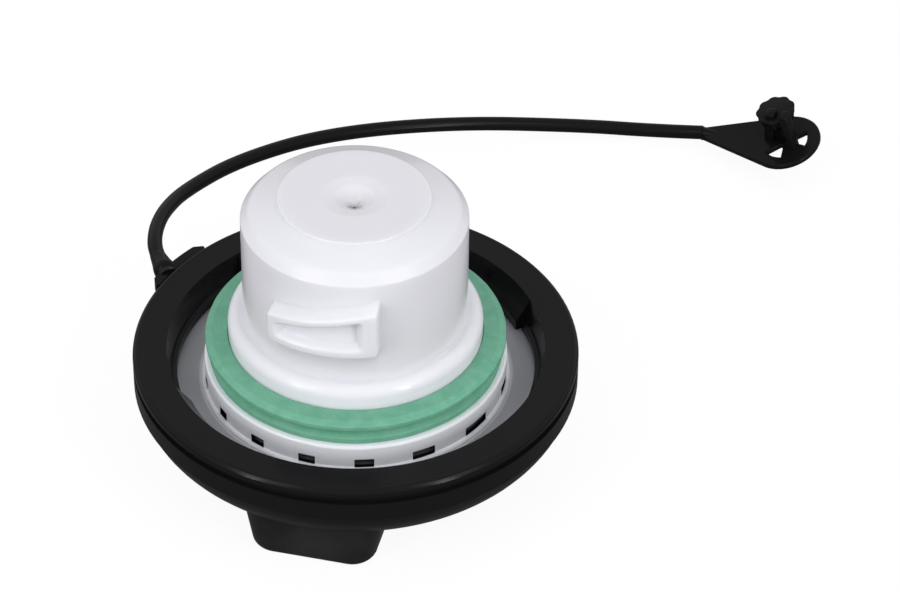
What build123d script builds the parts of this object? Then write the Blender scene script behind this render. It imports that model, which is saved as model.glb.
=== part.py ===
from build123d import *
from math import cos, degrees, hypot, pi, radians, sin, tan
import os

os.makedirs("parts", exist_ok=True)

# Fuel filler cap, standing upside down on its grip as it does on a bench.
# Millimetres and degrees. Z = 0 is the foot of the grip, +Z runs up the axis to the plug's nose.

# ---------------------------------------------------------------- driving dimensions
# Clearances
turn_gap = 0.3        # between faces that turn past each other
push_gap = 0.1        # round a piece that is pushed into its seat
guide_gap = 0.05      # radial, between a sliding stem and its guide
seal_gap = 0.1        # between a closed valve and its seat
clip_gap = 0.01       # radial, round a stem that a clip grips
weld = 0.7            # how far a feature is sunk into the wall that carries it

# Cover with its grip
cover_wall = 2.2
grip_height = 9.5
grip_foot_width = 24.4
grip_root_width = 28.0
grip_end_inset = 1.6   # from the dish's corner to the grip's end
grip_end_draft = 0.5
grip_corner = 5.0
grip_edge = 2.2
grip_wall = 2.5
grip_web_count = 3
grip_web_pitch = 20.0
grip_web_drop = 1.1   # top of a web below the cover's floor
dish_corner_inset = 4.9
dish_corner_rise = 1.5
dish_bulge = 0.5
dish_height = 8.2     # grip root to the underside of the skirt band
skirt_height = 4.5
skirt_wall = 2.4
skirt_step = 0.5
shelf_width = 2.0
snap_height = 1.4
snap_depth = 0.35
rib_count = 18
rib_thickness = 1.4

# Retaining ring, snapped into the cover's skirt
groove_height = 1.65
rim_height = 1.65
rim_round = 1.2
moat_depth = 7.0
moat_width = 5.5      # carrier's wall to the ring's throat
throat_slope = 1.95
throat_height = 1.6
rim_width = 6.65
ledge_run = 0.8
ledge_rise = 0.3
pad_count = 4
pad_angle = 45.0
pad_sweep = 20.0
pad_inset = 1.2
pad_foot = 2.0        # upright part of a pad, under its slope
pad_drop = 0.15       # top of a pad below the ring's face

# Tether ring, in the groove under the rim
tether_ring_width = 1.4
lug_angle = 158.3
lug_sweep = 22.5      # at the rim
lug_crest_sweep = 15.6
lug_reach = 2.0
lug_height = 2.8
lug_neck = 2.3        # depth of the strap's root in the lug
lug_corner = 0.5
strap_root_radius = 2.2

# Tether strap and its tab
strap_diameter = 3.1
strap_points = [
    (-45.0, 16.9, 23.0),
    (-47.5, 20.5, 23.0),
    (-49.4, 25.0, 22.7),
    (-50.7, 31.0, 21.9),
    (-51.1, 38.0, 20.6),
    (-50.1, 48.4, 18.0),
    (-43.6, 66.3, 14.2),
    (-29.3, 86.6, 9.4),
    (-4.9, 103.5, 4.9),
    (22.4, 113.2, 2.1),
    (39.1, 116.0, 1.7),
    (49.8, 116.2, 3.2),
]
tab_radius = 7.9
tab_length = 20.8     # strap end to the middle of the disc
tab_thickness = 2.2
tab_turn = -16.5      # heading of its axis in plan
tab_rise = 14.5
tab_tilt = 14.8
tab_edge = 0.7
tab_window_count = 3
tab_window_angle = -20.0
tab_window_sweep = 52.0
tab_window_outer = 5.5
tab_window_corner = 0.4
tab_socket = 5.0      # length of the round stub that runs into the tab
tab_hub_radius = 3.0
anchor_leg_width = 3.4
anchor_leg_thickness = 1.8
anchor_leg_space = 1.6
anchor_leg_height = 7.6
anchor_crown_radius = 4.3
anchor_crown_height = 2.8
anchor_crown_taper = 20.0
anchor_scallop_count = 9
anchor_scallop_radius = 0.8

# Carrier ring, the white ring between the cover and the plug
carrier_radius = 29.9
carrier_wall = 2.0
carrier_height = 5.7
carrier_deck = 1.8
carrier_cove = 0.8
carrier_edge = 0.5
flange_thickness = 2.0
flange_side_gap = 0.7
window_groups = 2
window_height = 2.0
window_rise = 0.6
window_start = -135.3  # middle of the first window
window_widths = [2.7, 3.2, 3.4, 3.8, 4.8, 6.5, 4.8, 3.4]
closure_angle = -4.5  # how far the closure is turned in the cover
tooth_count = 36
tooth_skirt_inset = 5.7  # flange's rim to the root of the teeth
tooth_depth = 1.3
tooth_wall = 1.4
tooth_height = 3.9
tooth_crest_share = 0.08   # flat crest, as a share of the pitch
tooth_ramp_share = 0.95    # where the slope reaches the root

# Drive ring, whose sprung pawls slip over the carrier's teeth when the cap is tight
hub_radius = 19.6
hub_wall = 2.6
hub_height = 4.0
key_count = 6
key_width = 4.0
key_depth = 1.4
drive_ring_width = 4.3
drive_ring_height = 3.3
drive_seat = 1.0      # height of the ring's seat above the cover's floor
pawl_count = 6
pawl_arm = 1.3
pawl_reach = 42.0
pawl_bow = 0.2
pawl_nose_drop = 1.0
pawl_nose_share = 0.75     # length of the pawl's nose, as a share of the pitch

# Plug
plug_radius = 22.0
plug_wall = 2.0
plug_height = 37.6    # carrier deck to the nose
nose_radius = 14.8
nose_step = 0.5
nose_wall = 2.6
shoulder_drop = 3.3
shoulder_round = 2.4
foot_radius = 25.07
foot_height = 6.0
foot_round = 2.5
neck_radius = 23.0
neck_drop = 6.9
bead_height = 1.1
bead_depth = 0.8
dimple_radius = 6.0
dimple_depth = 0.9
dimple_bend_radius = 3.6
dimple_bend_depth = 0.5
vent_radius = 2.0
cam_radius = 25.0
cam_width = 22.2
cam_rise = 7.2        # foot's top to the cam's level edge
cam_low_height = 7.2
cam_high_height = 10.9
cam_wall = 2.5
cam_corner = 1.4
cam_count = 2
cam_sink = 0.3        # how far a cam is sunk into the plug's wall

# Seal
seal_height = 5.4
seal_radius = 29.7
seal_lower_radius = 29.1
seal_under_foot = 4.1
seal_lip = 0.7
seal_groove_depth = 2.1
seal_land_radius = 28.5

# Valve body, pushed up inside the plug
valve_rise = 19.8     # carrier deck to the seat plate's top
valve_length = 23.5
valve_shoulder = 2.5
valve_bore = 16.2
valve_wall = 2.0
valve_head_height = 8.0
valve_rib_count = 8
seat_thickness = 2.5
seat_opening = 8.5
seat_bead_height = 0.6
seat_bead_width = 1.2
ring_section = 2.0
ring_groove_height = 2.4
bottom_flange = 1.5
bottom_snap = 0.9
bottom_snap_depth = 0.5

# Pressure valve
gasket_radius = 12.6
gasket_bore = 5.6
gasket_thickness = 1.5
washer_thickness = 0.6
plate_thickness = 1.5
plate_radius = 13.2
plate_holes = 4
plate_hole_radius = 1.0
plate_hole_circle = 3.9
pilot_height = 1.6
pilot_wall = 1.4
sleeve_drop = 3.0
wire_sides = 8
pressure_wire = 1.1
pressure_coil = 9.4
pressure_turns = 4.5
retainer_thickness = 2.0
retainer_holes = 6
retainer_hole_radius = 1.9
retainer_hole_circle = 12.6
retainer_bore = 4.6

# Vacuum valve
poppet_radius = 6.8
poppet_head = 1.2
poppet_round = 0.4
stem_radius = 1.5
stem_length = 13.0
clip_radius = 3.5
clip_thickness = 0.8
clip_from_end = 0.8
vacuum_wire = 0.5
vacuum_turns = 5.0

# ---------------------------------------------------------------- heights and radii that follow
skirt_bottom_z = grip_height + dish_height
skirt_top_z = skirt_bottom_z + skirt_height
rim_bottom_z = skirt_top_z + groove_height
ring_top_z = rim_bottom_z + rim_height
flange_top_z = ring_top_z - moat_depth
flange_bottom_z = flange_top_z - flange_thickness
shelf_z = flange_top_z + turn_gap
rib_top_z = flange_bottom_z - turn_gap
floor_z = grip_height + cover_wall

throat_radius = carrier_radius + moat_width
mouth_radius = throat_radius + throat_slope
cover_radius = mouth_radius + rim_width
skirt_bore = cover_radius - skirt_wall
ring_neck_radius = skirt_bore - push_gap
shelf_radius = skirt_bore - shelf_width
flange_radius = shelf_radius - flange_side_gap
tooth_root_radius = flange_radius - tooth_skirt_inset
skirt_tooth_radius = tooth_root_radius + tooth_wall
dish_corner_radius = cover_radius - dish_corner_inset
dish_corner_z = grip_height + dish_corner_rise
grip_root_z = (dish_corner_z + floor_z) / 2
grip_root_length = 2 * (dish_corner_radius - grip_end_inset)
grip_foot_length = grip_root_length - 2 * grip_end_draft
drive_bore = hub_radius + push_gap
drive_radius = drive_bore + key_depth + drive_ring_width
drive_seat_z = floor_z + drive_seat

deck_z = flange_top_z + carrier_height
deck_under_z = deck_z - carrier_deck
foot_under_z = deck_z + seal_under_foot
foot_top_z = foot_under_z + foot_height
seal_top_z = deck_z + seal_height
nose_z = deck_z + plug_height
shoulder_z = nose_z - shoulder_drop
plug_bottom_z = deck_z - neck_drop
plug_bore = plug_radius - plug_wall
cam_bottom_z = foot_top_z + cam_rise
cam_root_radius = plug_radius - cam_sink

valve_top_z = deck_z + valve_rise
valve_bottom_z = valve_top_z - valve_length
seat_under_z = valve_top_z - seat_thickness
seat_z = seat_under_z - seat_bead_height
gasket_top_z = seat_z - seal_gap
washer_top_z = gasket_top_z - gasket_thickness
plate_top_z = washer_top_z - washer_thickness
plate_under_z = plate_top_z - plate_thickness
retainer_under_z = valve_bottom_z + bottom_flange + bottom_snap
retainer_top_z = retainer_under_z + retainer_thickness
poppet_under_z = gasket_top_z + seal_gap
stem_end_z = poppet_under_z - stem_length
clip_top_z = stem_end_z + clip_from_end + clip_thickness
sleeve_end_z = plate_under_z - sleeve_drop


# ---------------------------------------------------------------- small helpers
def polar(radius, angle):
    """Point in XY at a radius and an angle."""
    return (radius * cos(radians(angle)), radius * sin(radians(angle)))


def radial_plane(angle):
    """Upright plane through the axis: its x runs outwards at the angle, its y runs up."""
    return Plane(
        origin=(0, 0, 0),
        x_dir=(*polar(1, angle), 0),
        z_dir=(*polar(1, angle - 90), 0),
    )


def write(piece, label):
    """Name a finished piece and write its STEP file."""
    piece.part.label = label
    export_step(piece.part, f"parts/{label}.step")
    print(f"{label}: {len(piece.part.solids())} solid, {piece.part.volume:.1f} mm3")


# ---------------------------------------------------------------- cover and grip
# One moulding: a shallow dish with a skirt band, the hollow grip bar under it, the ledge and
# ribs that carry the closure, and the splined hub of the drive ring.
with BuildPart() as cover_grip:
    with BuildSketch(Plane.XZ):
        with BuildLine():
            Polyline((0, floor_z), (0, grip_height), (dish_corner_radius, dish_corner_z))
            ThreePointArc(
                (dish_corner_radius, dish_corner_z),
                (
                    (dish_corner_radius + cover_radius - skirt_step) / 2 + dish_bulge,
                    (dish_corner_z + skirt_bottom_z) / 2 - dish_bulge,
                ),
                (cover_radius - skirt_step, skirt_bottom_z),
            )
            Polyline(
                (cover_radius - skirt_step, skirt_bottom_z),
                (cover_radius, skirt_bottom_z + skirt_step),
                (cover_radius, skirt_top_z),
                (skirt_bore, skirt_top_z),
                (skirt_bore, shelf_z),
                (shelf_radius, shelf_z),
                (shelf_radius, rib_top_z),
                (dish_corner_radius - cover_wall, dish_corner_z + cover_wall / 2),
                (0, floor_z),
            )
        make_face()
    revolve(axis=Axis.Z)
    # groove that the retaining ring's bead snaps into
    with BuildSketch(Plane.XZ):
        with BuildLine():
            Polyline(
                (skirt_bore - push_gap, shelf_z + snap_height - push_gap),
                (skirt_bore + snap_depth, shelf_z + snap_height + snap_depth),
                (skirt_bore + snap_depth, shelf_z + snap_height + 2 * snap_depth),
                (skirt_bore - push_gap, shelf_z + snap_height + 3 * snap_depth + push_gap),
                close=True,
            )
        make_face()
    revolve(axis=Axis.Z, mode=Mode.SUBTRACT)
    # radial ribs, whose tops the carrier's flange turns on
    with BuildSketch(*[radial_plane(i * 360 / rib_count) for i in range(rib_count)]):
        with BuildLine():
            Polyline(
                (skirt_tooth_radius + 2 * turn_gap, floor_z),
                (dish_corner_radius - cover_wall + weld, dish_corner_z + cover_wall / 2 - weld),
                (shelf_radius + weld, rib_top_z),
                (skirt_tooth_radius + 2 * turn_gap, rib_top_z),
                close=True,
            )
        make_face()
    extrude(amount=rib_thickness / 2, both=True)
    # the grip bar, tapered to its foot
    with BuildSketch(Plane.XY):
        RectangleRounded(grip_foot_width, grip_foot_length, grip_corner)
    with BuildSketch(Plane.XY.offset(grip_root_z)):
        RectangleRounded(grip_root_width, grip_root_length, grip_corner)
    loft()
    fillet(cover_grip.faces().sort_by(Axis.Z)[0].edges(), grip_edge)
    # the bar is hollow from inside, with webs across it
    with BuildSketch(Plane.XY.offset(grip_wall)):
        RectangleRounded(
            grip_foot_width - 2 * grip_wall,
            grip_foot_length - 2 * grip_wall,
            grip_corner - grip_wall,
        )
    with BuildSketch(Plane.XY.offset(floor_z + weld)):
        RectangleRounded(
            grip_root_width - 2 * grip_wall,
            grip_root_length - 2 * grip_wall,
            grip_corner - grip_wall,
        )
    loft(mode=Mode.SUBTRACT)
    with BuildSketch(Plane.XY.offset(grip_wall - weld)):
        with GridLocations(0, grip_web_pitch, 1, grip_web_count):
            Rectangle(grip_foot_width - 2 * grip_wall + 2 * weld, rib_thickness)
    extrude(amount=floor_z - grip_web_drop - grip_wall + weld)
    # splined hub and the seat round it
    with BuildSketch(Plane.XY.offset(floor_z - weld)):
        Circle(hub_radius)
        with PolarLocations(hub_radius, key_count, start_angle=closure_angle):
            Rectangle(2 * key_depth, key_width)
        Circle(hub_radius - hub_wall, mode=Mode.SUBTRACT)
    extrude(amount=weld + hub_height)
    with BuildSketch(Plane.XY.offset(floor_z - weld)):
        Circle(drive_radius)
        Circle(hub_radius - hub_wall, mode=Mode.SUBTRACT)
    extrude(amount=weld + drive_seat)
write(cover_grip, "cover_grip")

# ---------------------------------------------------------------- retaining ring
# Turned section with a flat face, a rounded rim and a neck that snaps into the skirt.
# Four pads on its inner wall reach in over the carrier's flange.
with BuildPart() as retaining_ring:
    with BuildSketch(Plane.XZ):
        with BuildLine():
            Polyline(
                (cover_radius, ring_top_z - rim_round),
                (cover_radius, rim_bottom_z),
                (ring_neck_radius, rim_bottom_z),
                (ring_neck_radius, shelf_z + snap_height + 3 * snap_depth),
                (ring_neck_radius + snap_depth, shelf_z + snap_height + 2 * snap_depth),
                (ring_neck_radius + snap_depth, shelf_z + snap_height + snap_depth),
                (ring_neck_radius, shelf_z + snap_height),
                (ring_neck_radius, shelf_z),
                (throat_radius, shelf_z),
                (throat_radius, shelf_z + throat_height),
                (throat_radius + ledge_run, shelf_z + throat_height + ledge_rise),
                (mouth_radius, ring_top_z),
                (cover_radius - rim_round, ring_top_z),
            )
            RadiusArc(
                (cover_radius - rim_round, ring_top_z),
                (cover_radius, ring_top_z - rim_round),
                rim_round,
            )
        make_face()
    revolve(axis=Axis.Z)
    pad_turns = [pad_angle + i * 360 / pad_count for i in range(pad_count)]
    for turn in pad_turns:
        with BuildSketch(radial_plane(turn - pad_sweep / 2)):
            with BuildLine():
                Polyline(
                    (throat_radius - pad_inset, shelf_z),
                    (mouth_radius + push_gap, shelf_z),
                    (mouth_radius + push_gap, ring_top_z - pad_drop),
                    (mouth_radius - push_gap, ring_top_z - pad_drop),
                    (throat_radius - pad_inset, shelf_z + pad_foot),
                    close=True,
                )
            make_face()
        revolve(axis=Axis.Z, revolution_arc=pad_sweep)
write(retaining_ring, "retaining_ring")

# ---------------------------------------------------------------- tether ring
# A thin ring that turns in the groove under the rim, with the lug that the strap grows from.
tether_inner_radius = ring_neck_radius + turn_gap
tether_outer_radius = tether_inner_radius + tether_ring_width
tether_bottom_z = skirt_top_z + turn_gap / 2
tether_thickness = groove_height - turn_gap
lug_inner_radius = cover_radius + turn_gap + push_gap
lug_crest_radius = lug_inner_radius + lug_reach
strap_start = Vector(*strap_points[0])
strap_heading = (Vector(*strap_points[1]) - strap_start).normalized()
root_length = hypot(strap_start.X, strap_start.Y) - lug_crest_radius + lug_neck
with BuildPart() as tether_ring:
    # the lug and the root of the strap, cut back to clear the rim
    with BuildSketch(Plane.XY.offset(tether_bottom_z + (tether_thickness - lug_height) / 2)):
        with BuildLine():
            CenterArc((0, 0), lug_inner_radius, lug_angle - lug_sweep / 2, lug_sweep)
            Line(
                polar(lug_inner_radius, lug_angle + lug_sweep / 2),
                polar(lug_crest_radius, lug_angle + lug_crest_sweep / 2),
            )
            CenterArc((0, 0), lug_crest_radius, lug_angle - lug_crest_sweep / 2, lug_crest_sweep)
            Line(
                polar(lug_crest_radius, lug_angle - lug_crest_sweep / 2),
                polar(lug_inner_radius, lug_angle - lug_sweep / 2),
            )
        make_face()
    extrude(amount=lug_height)
    fillet(tether_ring.edges().filter_by(Axis.Z), lug_corner)
    with BuildSketch(Plane(origin=strap_start, z_dir=-strap_heading)):
        Circle(strap_diameter / 2)
    with BuildSketch(Plane(origin=strap_start - strap_heading * root_length, z_dir=-strap_heading)):
        Circle(strap_root_radius)
    loft()
    with BuildSketch(Plane.XY):
        Circle(lug_inner_radius)
    extrude(amount=2 * ring_top_z, mode=Mode.SUBTRACT)
    # the ring and the web that joins the lug to it
    with BuildSketch(Plane.XY.offset(tether_bottom_z)):
        Circle(tether_outer_radius)
        Circle(tether_inner_radius, mode=Mode.SUBTRACT)
        with BuildLine():
            CenterArc(
                (0, 0),
                (tether_inner_radius + lug_inner_radius + lug_reach / 2) / 2,
                lug_angle - lug_crest_sweep / 2,
                lug_crest_sweep,
            )
        trace(line_width=lug_inner_radius + lug_reach / 2 - tether_inner_radius)
    extrude(amount=tether_thickness)
write(tether_ring, "tether_ring")

# ---------------------------------------------------------------- tether strap
# Straight runs joined by the largest tangent arcs that they allow.
strap_corners = [Vector(*point) for point in strap_points]
strap_runs = [end - start for start, end in zip(strap_corners, strap_corners[1:])]
strap_radii = []
for before, after in zip(strap_runs, strap_runs[1:]):
    half_turn = radians(before.get_angle(after) / 2)
    strap_radii.append(0.45 * min(before.length, after.length) / tan(half_turn))
print("strap radii:", [round(radius, 1) for radius in strap_radii])
with BuildPart() as tether_strap:
    with BuildLine() as strap_path:
        FilletPolyline(*strap_corners, radius=strap_radii)
    with BuildSketch(Plane(origin=strap_start, z_dir=strap_heading)):
        Circle(strap_diameter / 2)
    sweep()
strap_length = sum(edge.length for edge in strap_path.edges())
strap_section = Circle(strap_diameter / 2, mode=Mode.PRIVATE).area
print(f"strap length {strap_length:.1f} mm, by volume {tether_strap.part.volume / strap_section:.1f} mm")
write(tether_strap, "tether_strap")

# ---------------------------------------------------------------- tether tab with its push-in anchor
# A flat teardrop with three windows round a hub. The anchor is two legs under a scalloped crown.
strap_end = strap_corners[-1]
end_heading = strap_runs[-1].normalized()
level_heading = Vector(*polar(1, tab_turn), 0)
level_left = Vector(*polar(1, tab_turn + 90), 0)
tab_axis = level_heading * cos(radians(tab_rise)) + Vector(0, 0, sin(radians(tab_rise)))
tab_up = tab_axis.cross(level_left)
tab_normal = tab_up * cos(radians(tab_tilt)) - level_left * sin(radians(tab_tilt))
tab_plane = Plane(origin=strap_end, x_dir=tab_axis, z_dir=tab_normal)
hub_plane = Plane(origin=tab_plane.from_local_coords((tab_length, 0, 0)), x_dir=tab_axis, z_dir=tab_normal)
with BuildSketch(mode=Mode.PRIVATE) as tab_window:
    with BuildLine():
        CenterArc((0, 0), (tab_window_outer + tab_hub_radius) / 2, -tab_window_sweep / 2, tab_window_sweep)
    trace(line_width=tab_window_outer - tab_hub_radius)
    fillet(tab_window.vertices(), tab_window_corner)
with BuildPart() as tether_tab:
    with BuildSketch(tab_plane.offset(-tab_thickness / 2)):
        with Locations((strap_diameter, 0)):
            Circle(strap_diameter / 2)
        with Locations((tab_length, 0)):
            Circle(tab_radius)
        make_hull()
        with Locations((tab_length, 0)):
            with PolarLocations(0, tab_window_count, start_angle=tab_window_angle):
                add(tab_window.sketch, mode=Mode.SUBTRACT)
    extrude(amount=tab_thickness)
    outline = tether_tab.edges().filter_by(lambda edge: edge.length > 2 * tab_radius)
    fillet(outline, tab_edge)
    with BuildSketch(Plane(origin=strap_end, z_dir=end_heading)):
        Circle(strap_diameter / 2)
    extrude(amount=tab_socket)
    with BuildSketch(hub_plane.offset(-tab_thickness / 2)):
        Circle(tab_hub_radius)
    extrude(amount=tab_thickness + tab_edge)
    # legs
    with BuildSketch(hub_plane):
        with GridLocations(anchor_leg_space + anchor_leg_thickness, 0, 2, 1):
            Rectangle(anchor_leg_thickness, anchor_leg_width)
    extrude(amount=anchor_leg_height)
    # crown, narrower at its tip, scalloped round its side and split between the legs
    with BuildSketch(hub_plane.offset(anchor_leg_height)):
        Circle(anchor_crown_radius)
        with PolarLocations(anchor_crown_radius + anchor_scallop_radius / 3, anchor_scallop_count):
            Circle(anchor_scallop_radius, mode=Mode.SUBTRACT)
    extrude(amount=anchor_crown_height, taper=anchor_crown_taper)
    with BuildSketch(hub_plane.offset(tab_thickness / 2 + tab_edge)):
        Rectangle(anchor_leg_space, 3 * anchor_crown_radius)
    extrude(amount=anchor_leg_height - tab_thickness / 2, mode=Mode.SUBTRACT)
write(tether_tab, "tether_tab")

# ---------------------------------------------------------------- carrier ring
# Flange, wall and deck in one, with windows at the foot of the wall and ratchet teeth inside
# the skirt that hangs from the flange.
window_low_z = flange_top_z + window_rise
all_widths = window_groups * window_widths
post_width = (2 * pi * carrier_radius - sum(all_widths)) / len(all_widths)
with BuildPart() as carrier_ring:
    with BuildSketch(Plane.XZ):
        with BuildLine():
            Polyline(
                (carrier_radius, flange_top_z + carrier_cove),
                (carrier_radius, deck_z),
                (neck_radius + push_gap, deck_z),
                (neck_radius + push_gap, deck_under_z),
                (carrier_radius - carrier_wall, deck_under_z),
                (carrier_radius - carrier_wall, flange_bottom_z),
                (tooth_root_radius, flange_bottom_z),
                (tooth_root_radius, flange_bottom_z - tooth_height),
                (skirt_tooth_radius, flange_bottom_z - tooth_height),
                (skirt_tooth_radius, flange_bottom_z),
                (flange_radius, flange_bottom_z),
                (flange_radius, flange_top_z),
                (carrier_radius + carrier_cove, flange_top_z),
            )
            RadiusArc(
                (carrier_radius + carrier_cove, flange_top_z),
                (carrier_radius, flange_top_z + carrier_cove),
                -carrier_cove,
            )
        make_face()
    revolve(axis=Axis.Z)
    deck_edges = carrier_ring.edges().filter_by(GeomType.CIRCLE).group_by(Axis.Z)[-1]
    fillet(deck_edges.sort_by(SortBy.LENGTH)[-1], carrier_edge)
    # windows of several widths, with a post of one width between them
    window_turn = window_start
    for width, next_width in zip(all_widths, all_widths[1:] + all_widths[:1]):
        with BuildSketch(radial_plane(window_turn)):
            with Locations((carrier_radius, window_low_z + window_height / 2)):
                Rectangle(2 * carrier_wall + 2 * weld, window_height)
        extrude(amount=width / 2, both=True, mode=Mode.SUBTRACT)
        window_turn += degrees(((width + next_width) / 2 + post_width) / carrier_radius)
    # ratchet teeth: one steep flank, one slope
    tooth_pitch = 360 / tooth_count
    with BuildSketch(Plane.XY.offset(flange_bottom_z - tooth_height)):
        with PolarLocations(0, tooth_count, start_angle=closure_angle):
            Polygon(
                polar(tooth_root_radius + tooth_wall / 4, 0),
                polar(tooth_root_radius - tooth_depth, 0),
                polar(tooth_root_radius - tooth_depth, -tooth_crest_share * tooth_pitch),
                polar(tooth_root_radius + tooth_wall / 4, -tooth_ramp_share * tooth_pitch),
                align=None,
            )
    extrude(amount=tooth_height)
write(carrier_ring, "carrier_ring")

# ---------------------------------------------------------------- drive ring
# Keyed on the cover's hub. Each arm trails a pawl that drives one way and slips the other.
pawl_tip_radius = tooth_root_radius - turn_gap
pawl_face_turn = tooth_crest_share * tooth_pitch
pawl_nose_turn = pawl_nose_share * tooth_pitch
pawl_middle_turn = (pawl_face_turn + pawl_nose_turn) / 2
pawl_under_radius = pawl_tip_radius - tooth_depth - pawl_arm
with BuildSketch(mode=Mode.PRIVATE) as pawl:
    with BuildLine():
        ThreePointArc(
            polar(drive_radius - pawl_arm, pawl_middle_turn + pawl_reach),
            polar((drive_radius + pawl_tip_radius) / 2 + pawl_bow, pawl_middle_turn + pawl_reach / 2),
            polar(pawl_under_radius + pawl_arm / 2, pawl_middle_turn),
        )
    trace(line_width=pawl_arm)
    Polygon(
        polar(pawl_tip_radius, pawl_face_turn),
        polar(pawl_tip_radius - pawl_nose_drop, pawl_nose_turn),
        polar(pawl_under_radius, pawl_nose_turn),
        polar(pawl_under_radius, pawl_face_turn),
        align=None,
    )
with BuildPart() as drive_ring:
    with BuildSketch(Plane.XY.offset(drive_seat_z)):
        Circle(drive_radius)
        with PolarLocations(0, pawl_count, start_angle=closure_angle):
            add(pawl.sketch)
        Circle(drive_bore, mode=Mode.SUBTRACT)
        with PolarLocations(drive_bore, key_count, start_angle=closure_angle):
            Rectangle(2 * (key_depth + push_gap), key_width + 2 * push_gap, mode=Mode.SUBTRACT)
    extrude(amount=drive_ring_height)
write(drive_ring, "drive_ring")

# ---------------------------------------------------------------- plug
# A thin-walled cup, nose up, with a rounded foot over the seal, a snap bead under the
# carrier's deck and two cams that lock in the filler neck.
cam_far_z = cam_bottom_z + cam_low_height
cam_slope = (cam_high_height - cam_low_height) / cam_width
with BuildPart() as plug_body:
    with BuildSketch(Plane.XZ) as plug_section:
        with BuildLine():
            Polyline(
                (vent_radius, nose_z - dimple_depth),
                (dimple_bend_radius, nose_z - dimple_bend_depth),
                (dimple_radius, nose_z),
                (nose_radius, nose_z),
                (nose_radius, nose_z - nose_step),
                (plug_radius, shoulder_z),
                (plug_radius, foot_top_z),
                (foot_radius - foot_round, foot_top_z),
            )
            RadiusArc(
                (foot_radius - foot_round, foot_top_z),
                (foot_radius, foot_top_z - foot_round),
                foot_round,
            )
            Polyline(
                (foot_radius, foot_top_z - foot_round),
                (foot_radius, foot_under_z),
                (neck_radius, foot_under_z),
                (neck_radius, deck_under_z),
                (neck_radius + bead_depth, deck_under_z),
                (neck_radius, deck_under_z - bead_height),
                (neck_radius, plug_bottom_z),
                (plug_bore - bottom_snap_depth + bottom_snap, plug_bottom_z),
                (plug_bore - bottom_snap_depth, valve_bottom_z - bottom_snap),
                (plug_bore - bottom_snap_depth, valve_bottom_z),
                (plug_bore, valve_bottom_z),
                (plug_bore, valve_top_z),
                (plug_bore - valve_shoulder, valve_top_z),
                (plug_bore - valve_shoulder, shoulder_z - plug_wall),
                (nose_radius - plug_wall, nose_z - nose_step - nose_wall),
                (vent_radius, nose_z - nose_step - nose_wall),
                (vent_radius, nose_z - dimple_depth),
            )
        make_face()
        shoulder_corner = plug_section.vertices().sort_by_distance((plug_radius, shoulder_z))[0]
        fillet(shoulder_corner, shoulder_round)
    revolve(axis=Axis.Z)
    # cams: a ramped frame round a pocket, drawn square to its own centre line
    for i in range(cam_count):
        cam_turn = closure_angle - 90 + i * 360 / cam_count
        cam_face = Plane(
            origin=(*polar(cam_root_radius, cam_turn), 0),
            x_dir=(*polar(1, cam_turn + 90), 0),
            z_dir=(*polar(1, cam_turn), 0),
        )
        with BuildPart(mode=Mode.PRIVATE) as cam:
            with BuildSketch(cam_face.offset(-plug_radius / 2)):
                Polygon(
                    (-cam_width / 2, cam_bottom_z),
                    (cam_width / 2, cam_bottom_z),
                    (cam_width / 2, cam_bottom_z + cam_high_height),
                    (-cam_width / 2, cam_far_z),
                    align=None,
                )
            extrude(amount=plug_radius)
            fillet(cam.edges().filter_by(lambda edge: abs(edge.length - plug_radius) < 0.01), cam_corner)
            with BuildSketch(cam_face.offset(-plug_radius / 2)):
                Polygon(
                    (cam_wall - cam_width / 2, cam_bottom_z + cam_wall),
                    (cam_width / 2 - cam_wall, cam_bottom_z + cam_wall),
                    (cam_width / 2 - cam_wall, cam_bottom_z + cam_high_height - cam_wall * (1 + cam_slope)),
                    (cam_wall - cam_width / 2, cam_far_z - cam_wall * (1 - cam_slope)),
                    align=None,
                )
            extrude(amount=plug_radius, mode=Mode.SUBTRACT)
            with BuildSketch(Plane.XY):
                Circle(cam_radius)
            extrude(amount=nose_z, mode=Mode.INTERSECT)
            with BuildSketch(Plane.XY):
                Circle(cam_root_radius)
            extrude(amount=nose_z, mode=Mode.SUBTRACT)
        add(cam.part)
write(plug_body, "plug_body")

# ---------------------------------------------------------------- seal
# A rubber ring held under the plug's foot, with two lips and the groove between them.
seal_bore = neck_radius + guide_gap
with BuildPart() as seal_ring:
    with BuildSketch(Plane.XZ):
        with BuildLine():
            Polyline(
                (seal_bore, deck_z),
                (seal_lower_radius - seal_lip / 2, deck_z),
                (seal_lower_radius, deck_z + seal_lip / 2),
                (seal_lower_radius, deck_z + 2 * seal_lip),
                (seal_lower_radius - seal_groove_depth, seal_top_z - 4 * seal_lip),
                (seal_radius, seal_top_z - 2 * seal_lip),
                (seal_radius, seal_top_z - seal_lip),
                (seal_land_radius, seal_top_z),
                (foot_radius + push_gap, seal_top_z),
                (foot_radius + push_gap, foot_under_z),
                (seal_bore, foot_under_z),
                close=True,
            )
        make_face()
    revolve(axis=Axis.Z)
write(seal_ring, "seal_ring")

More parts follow.
